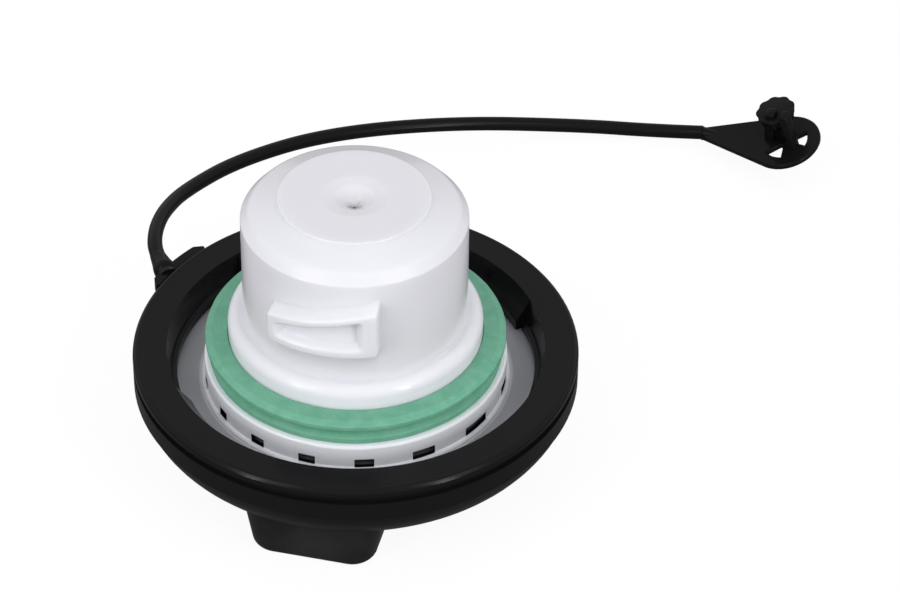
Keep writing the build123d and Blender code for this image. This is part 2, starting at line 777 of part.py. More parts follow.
# ---------------------------------------------------------------- valve body
# A cup pushed up the plug's bore to its step. Its end plate is the pressure valve's seat.
valve_radius = plug_bore - push_gap
ring_groove_radius = valve_radius - ring_section
ring_groove_z = valve_top_z - valve_head_height / 2 - ring_groove_height / 2
with BuildPart() as valve_body:
    with BuildSketch(Plane.XZ):
        with BuildLine():
            Polyline(
                (seat_opening, valve_top_z),
                (valve_radius, valve_top_z),
                (valve_radius, ring_groove_z + ring_groove_height),
                (ring_groove_radius, ring_groove_z + ring_groove_height),
                (ring_groove_radius, ring_groove_z),
                (valve_radius, ring_groove_z),
                (valve_radius, valve_top_z - valve_head_height),
                (valve_bore + valve_wall, valve_top_z - valve_head_height),
                (valve_bore + valve_wall, valve_bottom_z + bottom_flange),
                (valve_radius, valve_bottom_z + bottom_flange),
                (valve_radius, valve_bottom_z),
                (valve_bore, valve_bottom_z),
                (valve_bore - bottom_snap_depth, valve_bottom_z + bottom_flange),
                (valve_bore - bottom_snap_depth, retainer_under_z),
                (valve_bore, retainer_under_z),
                (valve_bore, seat_under_z),
                (seat_opening + seat_bead_width, seat_under_z),
                (seat_opening + seat_bead_width, seat_z),
                (seat_opening, seat_z),
                close=True,
            )
        make_face()
    revolve(axis=Axis.Z)
    # ribs that centre the thin wall in the bore
    rib_span = valve_length - valve_head_height - bottom_flange
    rib_inner_radius = valve_bore + valve_wall - weld
    rib_outer_radius = valve_radius - push_gap
    with BuildSketch(Plane.XY.offset(valve_bottom_z + bottom_flange)):
        with PolarLocations((rib_inner_radius + rib_outer_radius) / 2, valve_rib_count):
            Rectangle(rib_outer_radius - rib_inner_radius, rib_thickness)
    extrude(amount=rib_span)
write(valve_body, "valve_body")

with BuildPart() as valve_o_ring:
    with BuildSketch(Plane.XZ):
        with Locations((ring_groove_radius + ring_section / 2, ring_groove_z + ring_groove_height / 2)):
            Circle(ring_section / 2)
    revolve(axis=Axis.Z)
write(valve_o_ring, "valve_o_ring")

# ---------------------------------------------------------------- spring retainer
pilot_radius = pressure_coil - pressure_wire / 2 - turn_gap
with BuildPart() as spring_retainer:
    with BuildSketch(Plane.XY.offset(retainer_under_z)):
        Circle(valve_bore - push_gap)
        Circle(retainer_bore, mode=Mode.SUBTRACT)
        with PolarLocations(retainer_hole_circle, retainer_holes):
            Circle(retainer_hole_radius, mode=Mode.SUBTRACT)
    extrude(amount=retainer_thickness)
    with BuildSketch(Plane.XY.offset(retainer_top_z)):
        Circle(pilot_radius)
        Circle(pilot_radius - pilot_wall, mode=Mode.SUBTRACT)
    extrude(amount=pilot_height)
write(spring_retainer, "spring_retainer")


# ---------------------------------------------------------------- springs
def coil_spring(low_z, high_z, coil_radius, wire, turns):
    """Spring that stands between two faces. Its wire has wire_sides flats in place of a round section."""
    height = high_z - low_z - wire
    with BuildPart() as spring:
        with BuildLine() as coil:
            Helix(pitch=height / turns, height=height, radius=coil_radius, center=(0, 0, low_z + wire / 2))
        with BuildSketch(Plane(origin=coil.line @ 0, x_dir=(1, 0, 0), z_dir=coil.line % 0)):
            RegularPolygon(wire / 2, wire_sides, rotation=180 / wire_sides)
        sweep(is_frenet=True)
    return spring


pressure_spring = coil_spring(retainer_top_z, plate_under_z, pressure_coil, pressure_wire, pressure_turns)
write(pressure_spring, "pressure_spring")

vacuum_coil = stem_radius + guide_gap + vacuum_wire
vacuum_spring = coil_spring(clip_top_z, sleeve_end_z, vacuum_coil, vacuum_wire, vacuum_turns)
write(vacuum_spring, "vacuum_spring")

# ---------------------------------------------------------------- pressure valve
# Plate, stiffening washer and gasket lift off the seat together. The gasket also seals the
# vacuum valve, on its inner edge.
with BuildPart() as pressure_plate:
    with BuildSketch(Plane.XY.offset(plate_under_z)):
        Circle(plate_radius)
    extrude(amount=plate_thickness)
    with BuildSketch(Plane.XY.offset(plate_under_z - pilot_height)):
        Circle(pilot_radius)
        Circle(pilot_radius - pilot_wall, mode=Mode.SUBTRACT)
    extrude(amount=pilot_height)
    with BuildSketch(Plane.XY.offset(sleeve_end_z)):
        Circle(stem_radius + guide_gap + pilot_wall / 2)
    extrude(amount=sleeve_drop)
    with BuildSketch(Plane.XY.offset(sleeve_end_z)):
        Circle(stem_radius + guide_gap)
        with PolarLocations(plate_hole_circle, plate_holes):
            Circle(plate_hole_radius)
    extrude(amount=sleeve_drop + plate_thickness, mode=Mode.SUBTRACT)
write(pressure_plate, "pressure_plate")


def flat_ring(low_z, thickness, outer_radius, inner_radius):
    """Flat ring on the axis."""
    with BuildPart() as ring:
        with BuildSketch(Plane.XY.offset(low_z)):
            Circle(outer_radius)
            Circle(inner_radius, mode=Mode.SUBTRACT)
        extrude(amount=thickness)
    return ring


backing_washer = flat_ring(plate_top_z, washer_thickness, gasket_radius, gasket_bore)
write(backing_washer, "backing_washer")

pressure_gasket = flat_ring(washer_top_z, gasket_thickness, gasket_radius, gasket_bore)
write(pressure_gasket, "pressure_gasket")

# ---------------------------------------------------------------- vacuum valve
with BuildPart() as vacuum_poppet:
    with BuildSketch(Plane.XY.offset(poppet_under_z)):
        Circle(poppet_radius)
    extrude(amount=poppet_head)
    with BuildSketch(Plane.XY.offset(stem_end_z)):
        Circle(stem_radius)
    extrude(amount=stem_length)
    fillet(vacuum_poppet.faces().sort_by(Axis.Z)[-1].edges(), poppet_round)
write(vacuum_poppet, "vacuum_poppet")

stem_clip = flat_ring(stem_end_z + clip_from_end, clip_thickness, clip_radius, stem_radius + clip_gap)
write(stem_clip, "stem_clip")
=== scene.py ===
"""Looks of a round fuel filler cap that stands upside down on its grip, its tether laid behind it.

Sizes of the pieces are in millimetres, and those of the strap, the lamps and the view in metres.
"""
from math import acos, cos, degrees, exp, hypot, log, pi, radians, sin

import bpy
from mathutils import Matrix, Vector


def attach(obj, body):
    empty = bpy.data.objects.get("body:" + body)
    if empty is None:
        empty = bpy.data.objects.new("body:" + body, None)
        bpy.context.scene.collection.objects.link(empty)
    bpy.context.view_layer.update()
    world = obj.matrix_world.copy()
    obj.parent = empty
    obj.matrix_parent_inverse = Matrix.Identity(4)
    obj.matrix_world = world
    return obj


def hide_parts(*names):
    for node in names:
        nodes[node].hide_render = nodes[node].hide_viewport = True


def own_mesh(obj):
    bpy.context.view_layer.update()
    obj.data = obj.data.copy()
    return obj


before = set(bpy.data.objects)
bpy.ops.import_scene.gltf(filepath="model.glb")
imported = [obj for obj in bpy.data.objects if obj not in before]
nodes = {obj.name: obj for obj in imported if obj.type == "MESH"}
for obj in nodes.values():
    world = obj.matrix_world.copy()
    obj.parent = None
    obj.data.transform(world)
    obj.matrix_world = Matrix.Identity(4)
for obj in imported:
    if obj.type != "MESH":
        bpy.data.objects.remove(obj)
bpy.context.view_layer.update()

MM = 0.001
CAP_AXIS = (0.0, 0.0, 1.0)


def within(low, value, high):
    return max(low, min(high, value))


# ---------------------------------------------------------------- shader helpers
# Sockets of a Mix node that mixes colours.
MIX_FACTOR, MIX_FIRST, MIX_SECOND, MIX_RESULT = 0, 6, 7, 2


class Signal:
    """A shader socket that takes part in ordinary arithmetic."""

    def __init__(self, shader, socket):
        self.shader = shader
        self.socket = socket

    def __add__(self, other):
        return self.shader.maths("ADD", self, other)

    def __sub__(self, other):
        return self.shader.maths("SUBTRACT", self, other)

    def __rsub__(self, other):
        return self.shader.maths("SUBTRACT", other, self)

    def __mul__(self, other):
        return self.shader.maths("MULTIPLY", self, other)

    __radd__ = __add__
    __rmul__ = __mul__


class Shader:
    """The nodes of a material or of the world, round its surface shader."""

    def __init__(self, owner, surface, **settings):
        owner.use_nodes = True
        self.owner = owner
        self.tree = owner.node_tree
        self.surface = self.tree.nodes[surface]
        for socket, value in settings.items():
            self.feed(socket.replace("_", " "), value)

    def feed(self, socket, value, node=None):
        """Sets or links one socket, of the surface shader unless a node is named."""
        target = (node or self.surface).inputs[socket]
        if isinstance(value, Signal):
            self.tree.links.new(value.socket, target)
        else:
            target.default_value = value

    def node(self, kind, settings=None, inputs=None, output=0):
        """One output of a new node, made with its settings and its sockets' values or links."""
        made = self.tree.nodes.new(kind)
        for setting, value in (settings or {}).items():
            setattr(made, setting, value)
        for socket, value in (inputs or {}).items():
            self.feed(socket, value, made)
        return Signal(self, made.outputs[output])

    def maths(self, operation, *values):
        return self.node("ShaderNodeMath", {"operation": operation}, dict(enumerate(values)))

    def place(self):
        return self.node("ShaderNodeTexCoord", output="Object")

    def axes(self):
        """The place's three coordinates, in metres."""
        split = self.node("ShaderNodeSeparateXYZ", inputs={"Vector": self.place()})
        return [Signal(self, socket) for socket in split.socket.node.outputs]

    def noise(self, scale, detail=2.0):
        """Noise from 0 to 1 whose lumps are about 1/scale metres across."""
        inputs = {"Vector": self.place(), "Scale": scale, "Detail": detail}
        return self.node("ShaderNodeTexNoise", inputs=inputs)

    def ramp(self, value, low, high):
        """0 below low, 1 above high."""
        inputs = {"Value": value, "From Min": low, "From Max": high}
        return self.node("ShaderNodeMapRange", inputs=inputs)

    def mix(self, factor, first, second):
        """Colour that goes from the first to the second as the factor rises."""
        first, second = (c if isinstance(c, Signal) else (*c, 1.0) for c in (first, second))
        inputs = {MIX_FACTOR: factor, MIX_FIRST: first, MIX_SECOND: second}
        return self.node("ShaderNodeMix", {"data_type": "RGBA"}, inputs, MIX_RESULT)

    def bump(self, height, distance, strength):
        """Relief that is the distance high, in metres, where the height is 1."""
        inputs = {"Height": height, "Distance": distance, "Strength": strength}
        self.feed("Normal", self.node("ShaderNodeBump", inputs=inputs))


# ---------------------------------------------------------------- materials
BLACK = (0.0075, 0.0075, 0.008)
WORN_BLACK = (0.026, 0.026, 0.028)
WEAR_TOP = (11.0 * MM, 16.0 * MM)  # heights between which the grip's wear fades out
DUST_GREY = (0.30, 0.30, 0.31)
DUST_CELLS = 360.0
SPECK_EDGE = (0.025, 0.055)  # in shares of a dust cell

MILKY_WHITE = (0.79, 0.79, 0.84)
CLOSURE_WHITES = (0.77, 0.77, 0.82), (0.81, 0.81, 0.86)
CARRIER_WHITES = (0.90, 0.92, 0.98), (0.93, 0.95, 1.0)
# Grey painted on the carrier's flange: partly the black cover seen through the thin white, partly
# painted shade deep in the moat.
FLANGE_SHADE_GREY = (0.36, 0.36, 0.39)
# Painted shade inside the carrier's windows: grey on the inner sill, black near the wall.
SILL_SHADE_GREY = (0.16, 0.16, 0.17)
WINDOW_SHADE_BLACK = (0.004, 0.004, 0.005)

# Carrier: radius of its wall, top of its flange, foot and height of the windows in its wall.
CARRIER_RADIUS = 29.9
FLANGE_TOP = 18.5
WINDOW_FOOT = 19.1
WINDOW_HEIGHT = 2.0

SEAL_GREEN = (0.13, 0.40, 0.26)
SEAL_GREENS = (0.125, 0.385, 0.255), (0.175, 0.435, 0.305)
SEAL_FLECK = (0.45, 0.66, 0.55)


def finish(name, colour, roughness, **settings):
    """Shader of a new material. A pattern may take the place of its colour and roughness."""
    material = bpy.data.materials.new(name)
    plain = {"Base_Color": (*colour, 1.0), "Roughness": roughness}
    return Shader(material, "Principled BSDF", **plain, **settings)


def moulded_black(name, roughness, dust, specular=0.11, scuffed=False):
    """Satin black plastic with a faint spark-eroded grain. More dust gives it more pale specks."""
    shader = finish(name, BLACK, roughness, Specular_IOR_Level=specular)
    body = BLACK
    if scuffed:
        _, _, height = shader.axes()
        patches = shader.ramp(shader.noise(90.0, detail=5.0), low=0.2, high=0.8)
        body = shader.mix((1 - shader.ramp(height, *WEAR_TOP)) * patches, BLACK, WORN_BLACK)
    cells = {"Vector": shader.place(), "Scale": DUST_CELLS}
    centre_distance = shader.node("ShaderNodeTexVoronoi", inputs=cells)
    cell_draw = shader.node("ShaderNodeTexVoronoi", inputs=cells, output="Color")
    speck = 1 - shader.ramp(centre_distance, *SPECK_EDGE)
    chosen = shader.ramp(cell_draw, low=1.0 - dust, high=1.01 - dust)
    shader.feed("Base Color", shader.mix(speck * chosen, body, DUST_GREY))
    cloud = shader.noise(70.0, detail=4.0)
    shader.feed("Roughness", roughness - 0.06 + 0.14 * cloud)
    grain = shader.noise(2600.0, detail=3.0) + 1.5 * shader.noise(320.0)
    shader.bump(grain, distance=0.03 * MM, strength=0.35)
    return shader.owner


def milky_plastic(name, soak, shades):
    """Shader of glossy white plastic that light soaks into, and its faintly streaked colour."""
    shader = finish(
        name,
        MILKY_WHITE,
        0.2,
        Subsurface_Weight=soak,
        Subsurface_Radius=(1.0, 1.0, 1.0),
        Subsurface_Scale=3.0 * MM,
        Specular_IOR_Level=0.26,
    )
    flow = shader.noise(55.0, detail=1.0)
    shader.feed("Roughness", 0.11 + 0.05 * flow)
    return shader, shader.mix(flow, *shades)


def moulded_white(name):
    """White of the plug."""
    shader, body = milky_plastic(name, soak=0.75, shades=CLOSURE_WHITES)
    shader.feed("Base Color", body)
    return shader.owner


def carrier_white(name):
    """White of the carrier, with painted shade: its flange is painted grey, partly for the black
    cover seen through the thin white and partly as painted shade in the moat, and its windows are
    painted dark as painted shade.
    """
    shader, body = milky_plastic(name, soak=0.15, shades=CARRIER_WHITES)
    across, along, height = shader.axes()
    radius = shader.maths("SQRT", across * across + along * along)

    def past(measure, place, start, end):
        """Rises from 0 to 1 between two distances past a place, in mm."""
        return shader.ramp(measure, (place + start) * MM, (place + end) * MM)

    # The flange outside the wall takes the painted grey: partly see-through thinness, partly
    # painted shade.
    flange = (1 - past(height, FLANGE_TOP, 0.1, 0.4)) * past(radius, CARRIER_RADIUS, 0.2, 1.4)
    above_foot = past(height, WINDOW_FOOT, -0.1, 0.0)
    below_head = 1 - past(height, WINDOW_FOOT + WINDOW_HEIGHT, 0.0, 0.1)
    # Painted shade in the windows: their sills are painted grey further in and black near the wall.
    window = above_foot * below_head * (1 - past(radius, CARRIER_RADIUS, -0.08, -0.02))
    sill = past(radius, CARRIER_RADIUS, -1.2, -0.8)
    window_shade = shader.mix(sill, SILL_SHADE_GREY, WINDOW_SHADE_BLACK)
    shader.feed("Base Color", shader.mix(window, shader.mix(flange, body, FLANGE_SHADE_GREY), window_shade))
    return shader.owner


def seal_rubber(name):
    """Green rubber, finely mottled, with a few pale flecks."""
    shader = finish(name, SEAL_GREEN, 0.5, Specular_IOR_Level=0.35)
    patches = shader.ramp(shader.noise(420.0, detail=6.0), low=0.36, high=0.70)
    flecks = shader.ramp(shader.noise(1500.0), low=0.70, high=0.76)
    body = shader.mix(patches, *SEAL_GREENS)
    shader.feed("Base Color", shader.mix(0.5 * flecks, body, SEAL_FLECK))
    shader.feed("Roughness", 0.45 + 0.15 * patches)
    shader.bump(shader.noise(1200.0, detail=4.0), distance=0.06 * MM, strength=0.4)
    return shader.owner


def plain_finish(name, colour, roughness, metallic=0.0):
    """Finish of the pieces inside the cap."""
    shader = finish(name, colour, roughness, Metallic=metallic)
    shader.bump(shader.noise(1500.0), distance=0.03 * MM, strength=0.3)
    return shader.owner


cover_black = moulded_black("cover_black", roughness=0.34, dust=0.16, scuffed=True)
ring_black = moulded_black("ring_black", roughness=0.15, dust=0.06)
tether_black = moulded_black("tether_black", roughness=0.2, dust=0.03, specular=0.09)
closure_white = moulded_white("closure_white")
flange_white = carrier_white("flange_white")
seal_green = seal_rubber("seal_green")
valve_plastic = plain_finish("valve_plastic", (0.55, 0.55, 0.52), 0.5)
drive_plastic = plain_finish("drive_plastic", (0.7, 0.68, 0.6), 0.5)
gasket_rubber = plain_finish("gasket_rubber", (0.03, 0.03, 0.03), 0.7)
spring_steel = plain_finish("spring_steel", (0.6, 0.6, 0.6), 0.3, metallic=1.0)

# Pieces that keep the frame's own shape.
FRAME_FINISHES = {
    "cover_grip": cover_black,
    "retaining_ring": ring_black,
    "tether_ring": tether_black,
    "carrier_ring": flange_white,
    "drive_ring": drive_plastic,
    "valve_body": valve_plastic,
    "spring_retainer": valve_plastic,
    "pressure_plate": valve_plastic,
    "vacuum_poppet": valve_plastic,
    "valve_o_ring": gasket_rubber,
    "pressure_gasket": gasket_rubber,
    "backing_washer": spring_steel,
    "stem_clip": spring_steel,
}
for name, material in FRAME_FINISHES.items():
    nodes[name].data.materials.clear()
    nodes[name].data.materials.append(material)


# ---------------------------------------------------------------- making of pieces
FILLET_STEPS = 6
HOLD = 0.12  # from a fillet to the point that keeps the next face flat
MERGE_DISTANCE = 0.002
RING_STEPS = 384
# Sharpest angle in degrees that a piece's shading still smooths over.
CRISP_ANGLE, RUBBER_ANGLE, SOFT_ANGLE = 40.0, 50.0, 75.0


def linked(name, data):
    """New object in the scene."""
    item = bpy.data.objects.new(name, data)
    bpy.context.scene.collection.objects.link(item)
    return item


def show_only(piece):
    bpy.ops.object.select_all(action="DESELECT")
    piece.select_set(True)
    bpy.context.view_layer.objects.active = piece


def dress(piece, material, body, smooth_angle, stands_for=()):
    """Gives a piece its shading, material and body, and hides the pieces it stands for."""
    show_only(piece)
    bpy.ops.object.shade_smooth_by_angle(angle=radians(smooth_angle))
    piece.data.materials.clear()
    piece.data.materials.append(material)
    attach(piece, body)
    if stands_for:
        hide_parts(*stands_for)
    return piece


def rounded(corners):
    """Closed outline from corners of radius, height and fillet, each fillet an arc of points."""
    outline = []
    for index, (radius, height, fillet) in enumerate(corners):
        corner = Vector((radius, height))
        back = (Vector(corners[index - 1][:2]) - corner).normalized()
        ahead = (Vector(corners[(index + 1) % len(corners)][:2]) - corner).normalized()
        if fillet == 0.0:
            outline.append(corner)
            continue
        half = acos(within(-1.0, back.dot(ahead), 1.0)) / 2
        run = fillet * cos(half) / sin(half)
        centre = corner + (back + ahead).normalized() * fillet / sin(half)
        first, last = corner + back * run - centre, corner + ahead * run - centre
        turn = pi - 2 * half
        outline.append(corner + back * (run + HOLD))
        for step in range(FILLET_STEPS + 1):
            share = step / FILLET_STEPS
            arm = (sin((1 - share) * turn) * first + sin(share * turn) * last) / sin(turn)
            outline.append(centre + arm)
        outline.append(corner + ahead * (run + HOLD))
    return outline


def turned(name, corners, steps=RING_STEPS):
    """Ring or cup spun round the cap's axis from the corners of its outline."""
    mesh = bpy.data.meshes.new(name)
    places = [(radius * MM, 0.0, height * MM) for radius, height in rounded(corners)]
    mesh.from_pydata(places, [(i, (i + 1) % len(places)) for i in range(len(places))], [])
    piece = linked(name, mesh)
    show_only(piece)
    bpy.ops.object.mode_set(mode="EDIT")
    bpy.ops.mesh.select_all(action="SELECT")
    bpy.ops.mesh.spin(steps=steps, angle=2 * pi, center=(0.0, 0.0, 0.0), axis=CAP_AXIS)
    bpy.ops.mesh.select_all(action="SELECT")
    bpy.ops.mesh.remove_doubles(threshold=MERGE_DISTANCE * MM)
    bpy.ops.mesh.normals_make_consistent(inside=False)
    bpy.ops.object.mode_set(mode="OBJECT")
    return piece


def move_out(vertex, distance):
    """Moves a vertex away from the cap's axis."""
    reach = 1 + distance * MM / vertex.co.xy.length
    vertex.co.x *= reach
    vertex.co.y *= reach


def round_line(name, points, thickness, roundness, smooth=0):
    """Round wire or cord: straight from point to point, or smooth with some steps a stretch."""
    line = bpy.data.curves.new(name, "CURVE")
    line.dimensions = "3D"
    line.bevel_depth = thickness / 2
    line.bevel_resolution = roundness
    line.use_fill_caps = True
    spline = line.splines.new("NURBS" if smooth else "POLY")
    spline.points.add(len(points) - 1)
    for point, place in zip(spline.points, points):
        point.co = (*place, 1.0)
    if smooth:
        spline.order_u = 3
        spline.use_endpoint_u = True
        spline.resolution_u = smooth
    return line


def meshed(name, curve):
    """Piece made of a curve's mesh."""
    show_only(linked(name, curve))
    bpy.ops.object.convert(target="MESH")
    return bpy.context.object


# ---------------------------------------------------------------- plug
PLUG_RADIUS = 22.0
PLUG_STEPS = 480
CLOSURE_TURN = radians(-4.5)
CAM_REACH = 3.0
CAM_EDGE = 0.62     # half width of the slope at a cam's edge
CAM_CORNER = 3.2    # sharpness of its corners, per mm
CAM_ROW = 0.24      # height of the rows of faces round the cams
CAM_MARGIN = 1.0    # how far those rows go on above and below a cam
CAM_BLEND = 1.2     # how far above and below a cam the wall may still stand out
WALL_TOLERANCE = 0.01
LEAST_RELIEF = 0.001
# Frame and pocket of a cam: middle, half width, bottom, top at the left and at the right.
CAM_FRAME = (0.95, 10.1, 41.5, 48.7, 52.9)
CAM_POCKET = (0.65, 7.25, 44.1, 46.5, 50.1)
CAM_FOOT, CAM_TOP = CAM_FRAME[2], CAM_FRAME[4]
# The pocket's floor sinks from its shallow foot to its full depth, and is level from there.
POCKET_DEEP, POCKET_SHALLOW = 2.5, 1.3
POCKET_SLOPE = 1.6
PLUG_TOP = [
    (0.35, 58.7, 0.0),
    (0.35, 59.1, 0.0),
    (2.3, 60.4, 0.4),
    (3.9, 61.35, 1.6),
    (6.4, 61.8, 2.5),
    (14.8, 61.8, 0.2),
    (14.85, 61.3, 0.15),
    (20.3, 58.95, 3.0),
    (22.0, 57.0, 0.55),
]
PLUG_FOOT = [
    (22.0, 34.3, 0.6),
    (25.07, 34.3, 2.2),
    (25.07, 28.3, 0.1),
    (23.0, 28.3, 0.0),
    (23.0, 22.4, 0.0),
    (23.8, 22.4, 0.0),
    (23.0, 21.3, 0.0),
    (23.0, 17.3, 0.0),
    (20.4, 17.3, 0.0),
    (19.5, 19.6, 0.0),
    (19.5, 20.5, 0.0),
    (20.0, 20.5, 0.0),
    (20.0, 44.0, 0.0),
    (17.5, 44.0, 0.0),
    (17.5, 56.5, 0.0),
    (12.8, 58.7, 0.0),
]


def depth_inside(across, height, middle, half, low, left_top, right_top):
    """Distance inside the edges of a cam's frame or pocket, with soft corners."""
    slope = (right_top - left_top) / (2 * half)
    top = (left_top + slope * (across - middle + half) - height) / hypot(1.0, slope)
    sides = (half - across + middle, half + across - middle, height - low, top)
    return -log(sum(exp(-CAM_CORNER * side) for side in sides)) / CAM_CORNER


def eased(value, width):
    """0 below -width, 1 above width, with a soft start and end."""
    share = within(0.0, (value + width) / (2 * width), 1.0)
    return share * share * (3 - 2 * share)


def cam_relief(across, height):
    """How far a cam stands out of the plug's wall at a place of its face."""
    in_frame = depth_inside(across, height, *CAM_FRAME)
    in_pocket = depth_inside(across, height, *CAM_POCKET)
    _, _, pocket_foot, _, pocket_top = CAM_POCKET
    rise = (height - pocket_foot) / (pocket_top - pocket_foot)
    sunk = within(0.0, POCKET_SLOPE * rise, 1.0)
    depth = POCKET_SHALLOW + (POCKET_DEEP - POCKET_SHALLOW) * sunk
    return CAM_REACH * eased(in_frame, CAM_EDGE) - depth * eased(in_pocket, CAM_EDGE)


def plug_shell():
    """The plug, turned from its outline, with the two cams raised out of its wall."""
    rows = int((CAM_TOP - CAM_FOOT + 2 * CAM_MARGIN) / CAM_ROW)
    wall = [(PLUG_RADIUS, CAM_TOP + CAM_MARGIN - CAM_ROW * row, 0.0) for row in range(rows)]
    plug = turned("plug", PLUG_TOP + wall + PLUG_FOOT, PLUG_STEPS)
    for vertex in plug.data.vertices:
        x, y, height = (value / MM for value in vertex.co)
        on_wall = abs(hypot(x, y) - PLUG_RADIUS) < WALL_TOLERANCE
        if on_wall and CAM_FOOT - CAM_BLEND < height < CAM_TOP + CAM_BLEND:
            side = -1 if y < 0 else 1
            across = -side * (x * cos(CLOSURE_TURN) + y * sin(CLOSURE_TURN))
            relief = cam_relief(across, height)
            if relief > LEAST_RELIEF:
                move_out(vertex, relief)
    dress(plug, closure_white, "closure", SOFT_ANGLE, ["plug_body"])


plug_shell()


# ---------------------------------------------------------------- seal
SEAL_OUTLINE = [
    (23.05, 24.2, 0.0),
    (28.75, 24.2, 0.2),
    (29.1, 24.6, 0.25),
    (29.1, 25.6, 0.3),
    (27.3, 26.75, 0.35),
    (29.7, 28.05, 0.3),
    (29.7, 28.95, 0.3),
    (28.4, 29.6, 0.6),
    (25.17, 29.6, 0.1),
    (25.17, 28.3, 0.0),
    (23.05, 28.3, 0.0),
]
LIP_RADIUS = 26.0  # the seal is uneven outside it
LIP_SPLIT = 26.7   # height between the two lips
LIP_INSET = 0.1    # keeps the waves within the seal's own radius
# How many waves go round, their size and where they start.
LIP_WAVES = ((3, 0.05, 0.4), (7, 0.035, 1.9), (17, 0.02, 0.9), (41, 0.012, 2.2))


def rubber_seal():
    """The seal's two lips, a little uneven as pressed rubber is."""
    seal = turned("seal", SEAL_OUTLINE)
    for vertex in seal.data.vertices:
        if vertex.co.xy.length < LIP_RADIUS * MM:
            continue
        turn = vertex.co.xy.angle_signed(Vector((1.0, 0.0)))
        lip = 1.0 if vertex.co.z > LIP_SPLIT * MM else -1.0
        wave = sum(size * sin(count * turn + lip * start) for count, size, start in LIP_WAVES)
        move_out(vertex, wave - LIP_INSET)
    dress(seal, seal_green, "closure", RUBBER_ANGLE, ["seal_ring"])


rubber_seal()


# ---------------------------------------------------------------- springs
COIL_STEPS = 48


def coil_spring(name, low, high, radius, wire, turns, body):
    """Round wire coil wound evenly between two heights, on the body it moves with."""
    steps = int(turns * COIL_STEPS)
    points = []
    for step in range(steps + 1):
        turn = 2 * pi * turns * step / steps
        height = low + wire / 2 + (high - low - wire) * step / steps
        points.append((radius * MM * cos(turn), radius * MM * sin(turn), height * MM))
    line = round_line(name + "_coil", points, wire * MM, roundness=4)
    coil = meshed(name + "_coil", line)
    dress(coil, spring_steel, body, CRISP_ANGLE, [name])
    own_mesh(coil)


coil_spring(
    "pressure_spring",
    low=24.95,
    high=37.15,
    radius=9.4,
    wire=1.06,
    turns=4.5,
    body="closure",
)
coil_spring(
    "vacuum_spring",
    low=29.53,
    high=34.17,
    radius=2.03,
    wire=0.48,
    turns=5.0,
    body="pressure_valve",
)


# ---------------------------------------------------------------- rim
# The rim's outer edge: a rounded lip over a fine parting groove.
RIM_OUTLINE = [
    (42.45, 25.3, 0.0),
    (42.45, 25.53, 0.04),
    (43.75, 25.53, 0.75),
    (43.75, 24.62, 0.06),
    (43.62, 24.52, 0.04),
    (43.98, 24.42, 0.12),
    (43.98, 23.88, 0.15),
    (43.2, 23.88, 0.0),
    (43.2, 24.6, 0.0),
]
dress(turned("rim_edge", RIM_OUTLINE), ring_black, "cover", CRISP_ANGLE)


# ---------------------------------------------------------------- tab and anchor
TAB_CENTRE = Vector((69.0, 110.4, 8.6)) * MM
TAB_ALONG = Vector((0.928, -0.275, 0.238)).normalized()
TAB_UP = Vector((-0.2925, -0.1725, 0.9406)).normalized()
# What follows is in the tab's own axes: away from the strap, sideways, and up from its top face.
TAB_RADIUS = 7.8
TAB_LENGTH = 20.8
TAB_NECK = 1.45         # half width where the strap meets it
TAB_THICKNESS = 1.3
TAB_EDGE = 0.4
WINDOW_ANGLES = (-104.0, 18.0, 138.0)
WINDOW_SWEEP = 54.0
WINDOW_INNER, WINDOW_OUTER = 1.5, 4.9
WINDOW_NARROWING = 3.0  # degrees by which each side of a window draws in at its outer end
NECK_RADII = (1.6, 0.7)
NECK_LENGTH = 4.0
NECK_PLACE = 1.8        # its middle, from the plate's narrow end
CROWN_RADIUS = 4.5
CROWN_TOP = 6.8
CROWN_HEIGHT = 2.4
CROWN_MIDDLE = (-1.7, 2.6)
CROWN_SIDES = 108
CROWN_LOBES = 9
CROWN_NOTCH = 0.075     # depth between two lobes, in shares of the radius
CROWN_TAPER = 0.86
# Two prongs and the post of the anchor: middle of the foot and of the head, width each way, height.
ANCHOR_LEGS = (
    ((-4.0, 0.5), (-1.7, 0.9), (2.3, 2.6), 8.0),
    ((2.6, -1.4), (1.7, 0.5), (1.9, 2.6), 8.0),
    ((-1.0, 1.4), (-1.0, 1.6), (3.6, 3.0), 5.6),
)
LEG_SINK = 0.6
BEVEL_SEGMENTS = 3


def settled(piece):
    """Puts a piece drawn in the tab's own axes in its place, in its mesh."""
    turn = Matrix((TAB_ALONG, TAB_UP.cross(TAB_ALONG), TAB_UP)).transposed().to_4x4()
    to_cap = Matrix.Translation(TAB_CENTRE) @ turn @ Matrix.Scale(MM, 4)
    piece.data.transform(to_cap @ piece.matrix_world)
    piece.matrix_world = Matrix.Identity(4)
    return piece


def softened(piece, width):
    """Rounds a piece's edges for good."""
    show_only(piece)
    rounder = piece.modifiers.new("edges", "BEVEL")
    rounder.width = width
    rounder.segments = BEVEL_SEGMENTS
    bpy.ops.object.modifier_apply(modifier=rounder.name)
    return piece


def primitive(add, **shape):
    """New piece that one of Blender's operators adds."""
    bpy.ops.object.select_all(action="DESELECT")
    add(**shape)
    return bpy.context.object


def arc(radius, first, last, count):
    """Points of an arc from one angle to another, in degrees."""
    turns = [radians(first + (last - first) * k / count) for k in range(count + 1)]
    return [(radius * cos(turn), radius * sin(turn)) for turn in turns]


